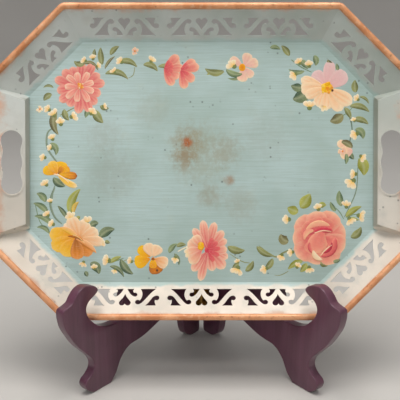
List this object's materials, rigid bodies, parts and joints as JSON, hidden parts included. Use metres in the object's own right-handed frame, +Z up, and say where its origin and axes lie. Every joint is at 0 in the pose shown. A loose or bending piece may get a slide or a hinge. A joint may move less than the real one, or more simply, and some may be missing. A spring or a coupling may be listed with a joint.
{
  "type": "serving tray on folding easel",
  "caption": "Octagonal metal serving tray with pierced gallery walls and finger holes, leaning in a folding two-board wooden display easel.",
  "frame": {"origin": "on the table, under the centre of the whole object's bounding box", "axes": "+X along the tray's length to the viewer's right, +Y away from the viewer towards the stand's hinges, +Z up"},
  "size_m": [0.508, 0.2094, 0.4586],
  "materials": {
    "tray_paint": "satin",
    "rim_paint": "satin",
    "steel_wire": "matte",
    "board_wood": "satin",
    "hinge_brass": "satin",
    "decoration_paint": "satin"
  },
  "bodies": {
    "hinge_pins": {"upper_hinge_pin": "hinge_brass", "lower_hinge_pin": "hinge_brass"},
    "left_half": {"left_board": "board_wood", "upper_hinge_left_leaf": "hinge_brass", "lower_hinge_left_leaf": "hinge_brass", "left_hinge_screws": "hinge_brass"},
    "right_half": {"right_board": "board_wood", "upper_hinge_right_leaf": "hinge_brass", "lower_hinge_right_leaf": "hinge_brass", "right_hinge_screws": "hinge_brass"},
    "tray": {"tray_floor": "tray_paint", "long_walls": "tray_paint", "corner_walls": "tray_paint", "end_flanges": "tray_paint", "rolled_rim": "rim_paint", "rim_wire": "steel_wire"}
  },
  "joints": [
    {"name": "stand_fold", "type": "hinge", "parent": "hinge_pins", "child": "left_half", "pos_m": [0, 0.09952, 0.14], "axis": [0, 0, 1], "range_deg": [0, 37.4]},
    {"name": "right_fold", "type": "hinge", "parent": "hinge_pins", "child": "right_half", "pos_m": [0, 0.09952, 0.14], "axis": [0, 0, -1], "range_deg": [0, 37.4]},
    {"name": "tray_lift", "type": "slide", "parent": "hinge_pins", "child": "tray", "axis": [0, -0.3714, 0.9285], "range_m": [0, 0.13]}
  ],
  "couplings": [
    {"joint": "right_fold", "follows": "stand_fold", "ratio": 1},
    {"joint": "tray_lift", "follows": "stand_fold", "m_per_rad": 0.198}
  ]
}
